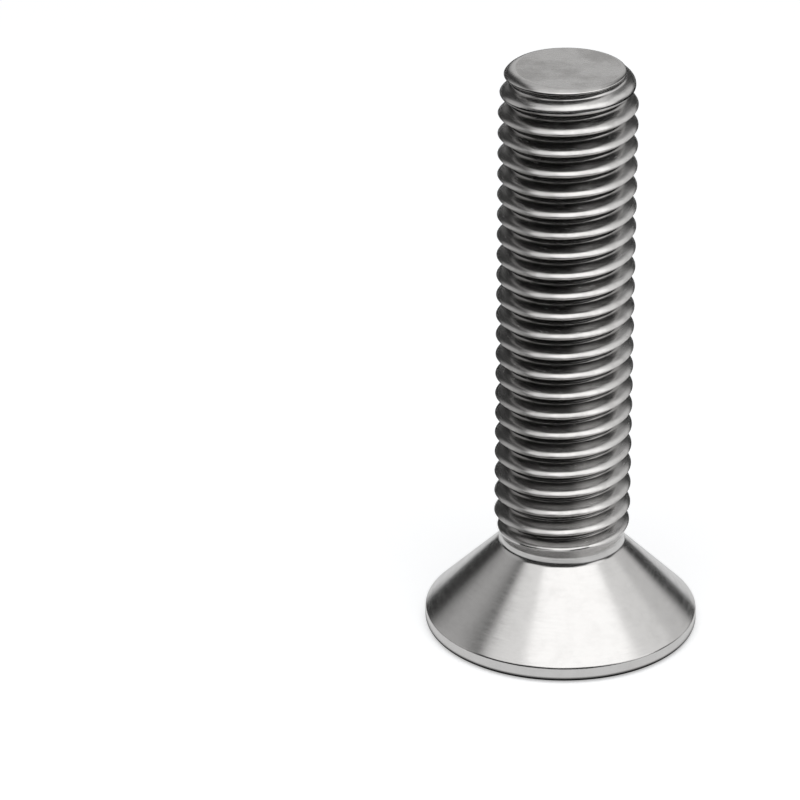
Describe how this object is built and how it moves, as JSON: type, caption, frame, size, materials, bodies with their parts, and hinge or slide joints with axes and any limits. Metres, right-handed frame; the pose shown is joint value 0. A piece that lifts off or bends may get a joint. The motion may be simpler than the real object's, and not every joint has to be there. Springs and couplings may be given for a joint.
{
  "type": "countersunk hex socket screw",
  "caption": "Countersunk hexagon socket screw with a coarse right-hand metric thread, a short plain neck under its cone head and a rounded point.",
  "frame": {"origin": "centre of the flat face of the head, on the surface that the screw stands on", "axes": "+Z along the shank from the head to the point; X and Y across, with two flats of the socket facing along Y"},
  "size_m": [0.016, 0.016, 0.035],
  "materials": {
    "stainless": "bright, smooth from cold forming and thread rolling, with fine mottling on the head's face and faint scuffs on the point"
  },
  "bodies": {
    "root": {"screw": "stainless"}
  },
  "joints": []
}
